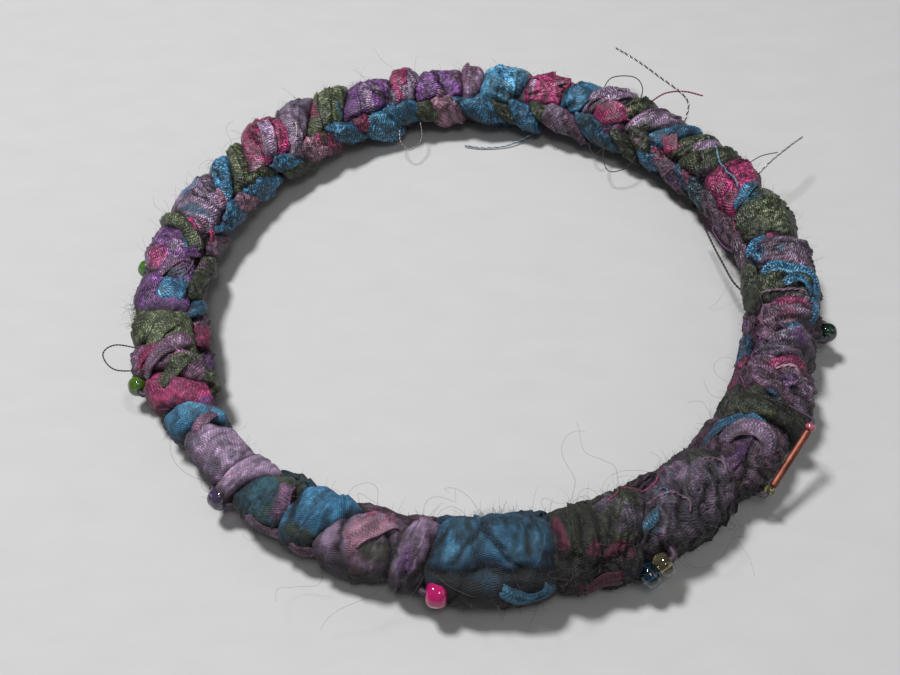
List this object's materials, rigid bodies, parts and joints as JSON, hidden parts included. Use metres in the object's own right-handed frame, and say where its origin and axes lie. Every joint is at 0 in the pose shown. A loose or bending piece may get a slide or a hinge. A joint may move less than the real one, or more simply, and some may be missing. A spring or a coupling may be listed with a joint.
{
  "type": "bangle bracelet",
  "caption": "Round bangle: a rigid hoop covered all round with puffed turns of variegated ribbon yarn, with glass seed beads and a slim copper tube sewn to the outside.",
  "frame": {"origin": "on the ring axis, on the surface that the bangle lies on", "axes": "+Z along the ring axis, up from the resting surface; +Y towards the side with the two-rowed band, -Y towards the widest blue turn"},
  "size_m": [0.086, 0.0837, 0.0085],
  "materials": {
    "hoop_plastic": "satin, out of sight",
    "ribbon_blue": "shiny plain-weave ribbon, hand-dyed bright blue",
    "ribbon_teal": "shiny plain-weave ribbon, hand-dyed dark teal",
    "ribbon_magenta": "shiny plain-weave ribbon, hand-dyed magenta",
    "ribbon_mauve": "shiny plain-weave ribbon, hand-dyed mauve",
    "ribbon_violet": "shiny plain-weave ribbon, hand-dyed violet",
    "ribbon_olive": "shiny plain-weave ribbon, hand-dyed olive",
    "thread_dark": "dark twisted thread",
    "copper": "polished copper colour",
    "glass_purple": "clear blue-violet",
    "glass_magenta": "clear magenta",
    "glass_teal": "clear dark teal",
    "glass_gold": "clear olive-gold",
    "glass_dark_green": "clear dark green",
    "glass_lime": "clear lime green"
  },
  "bodies": {
    "bangle": {"bead_stitches": "thread_dark", "blue_turn_01": "ribbon_blue", "blue_turn_04": "ribbon_blue", "blue_turn_08": "ribbon_blue", "blue_turn_16": "ribbon_blue", "blue_turn_25": "ribbon_blue", "blue_turn_27": "ribbon_blue", "blue_turn_31": "ribbon_blue", "blue_turn_37": "ribbon_blue", "blue_turn_39": "ribbon_blue", "core_hoop": "hoop_plastic", "inner_loops": "ribbon_mauve", "loose_thread_ends": "thread_dark", "magenta_turn_09": "ribbon_magenta", "magenta_turn_10": "ribbon_magenta", "magenta_turn_18": "ribbon_magenta", "magenta_turn_26": "ribbon_magenta", "magenta_turn_34": "ribbon_magenta", "magenta_turn_38": "ribbon_magenta", "magenta_turn_40": "ribbon_magenta", "magenta_turn_45": "ribbon_magenta", "mauve_turn_02": "ribbon_mauve", "mauve_turn_03": "ribbon_mauve", "mauve_turn_06": "ribbon_mauve", "mauve_turn_07": "ribbon_mauve", "mauve_turn_15": "ribbon_mauve", "mauve_turn_19": "ribbon_mauve", "mauve_turn_22": "ribbon_mauve", "mauve_turn_24": "ribbon_mauve", "mauve_turn_28": "ribbon_mauve", "mauve_turn_30": "ribbon_mauve", "mauve_turn_33": "ribbon_mauve", "mauve_turn_36": "ribbon_mauve", "mauve_turn_42": "ribbon_mauve", "mauve_turn_43": "ribbon_mauve", "olive_turn_11": "ribbon_olive", "olive_turn_14": "ribbon_olive", "olive_turn_17": "ribbon_olive", "olive_turn_20": "ribbon_olive", "olive_turn_29": "ribbon_olive", "olive_turn_32": "ribbon_olive", "olive_turn_35": "ribbon_olive", "olive_turn_41": "ribbon_olive", "olive_turn_44": "ribbon_olive", "teal_turn_05": "ribbon_teal", "violet_turn_12": "ribbon_violet", "violet_turn_13": "ribbon_violet", "violet_turn_21": "ribbon_violet", "violet_turn_23": "ribbon_violet"},
    "purple_bead": {"purple_bead": "glass_purple"},
    "magenta_bead": {"magenta_bead": "glass_magenta"},
    "gold_bead": {"gold_bead": "glass_gold"},
    "teal_bead": {"teal_bead": "glass_teal"},
    "pink_tip_bead": {"pink_tip_bead": "glass_magenta"},
    "copper_tube": {"copper_tube": "copper"},
    "gold_tip_bead": {"gold_tip_bead": "glass_gold"},
    "dark_green_bead": {"dark_green_bead": "glass_dark_green"},
    "lime_bead": {"lime_bead": "glass_lime"},
    "leaf_green_bead": {"leaf_green_bead": "glass_lime"}
  },
  "joints": [
    {"name": "purple_bead_spin", "type": "hinge", "parent": "bangle", "child": "purple_bead", "pos_m": [-0.02779, -0.02918, 0.0034], "axis": [-0.7242, 0.6896, 0], "continuous": true},
    {"name": "magenta_bead_spin", "type": "hinge", "parent": "bangle", "child": "magenta_bead", "pos_m": [-0.00466, -0.04094, 0.0042], "axis": [-0.9936, 0.1132, 0], "continuous": true},
    {"name": "gold_bead_spin", "type": "hinge", "parent": "bangle", "child": "gold_bead", "pos_m": [0.01755, -0.03816, 0.004], "axis": [-0.7868, -0.3619, -0.5], "continuous": true},
    {"name": "teal_bead_spin", "type": "hinge", "parent": "bangle", "child": "teal_bead", "pos_m": [0.01755, -0.03816, 0.004], "axis": [-0.7868, -0.3619, -0.5], "continuous": true},
    {"name": "pink_tip_bead_spin", "type": "hinge", "parent": "bangle", "child": "pink_tip_bead", "pos_m": [0.03284, -0.02603, 0.006], "axis": [-0.5674, -0.7159, -0.4067], "continuous": true},
    {"name": "copper_tube_spin", "type": "hinge", "parent": "bangle", "child": "copper_tube", "pos_m": [0.03284, -0.02603, 0.006], "axis": [-0.5674, -0.7159, -0.4067], "continuous": true},
    {"name": "gold_tip_bead_spin", "type": "hinge", "parent": "bangle", "child": "gold_tip_bead", "pos_m": [0.03284, -0.02603, 0.006], "axis": [-0.5674, -0.7159, -0.4067], "continuous": true},
    {"name": "dark_green_bead_spin", "type": "hinge", "parent": "bangle", "child": "dark_green_bead", "pos_m": [0.04104, -0.00679, 0.004], "axis": [-0.1633, -0.9866, 0], "continuous": true},
    {"name": "lime_bead_spin", "type": "hinge", "parent": "bangle", "child": "lime_bead", "pos_m": [-0.039, -0.01419, 0.0033], "axis": [-0.342, 0.9397, 0], "continuous": true},
    {"name": "leaf_green_bead_spin", "type": "hinge", "parent": "bangle", "child": "leaf_green_bead", "pos_m": [-0.04097, 0.00431, 0.003], "axis": [0.1045, 0.9945, 0], "continuous": true}
  ]
}
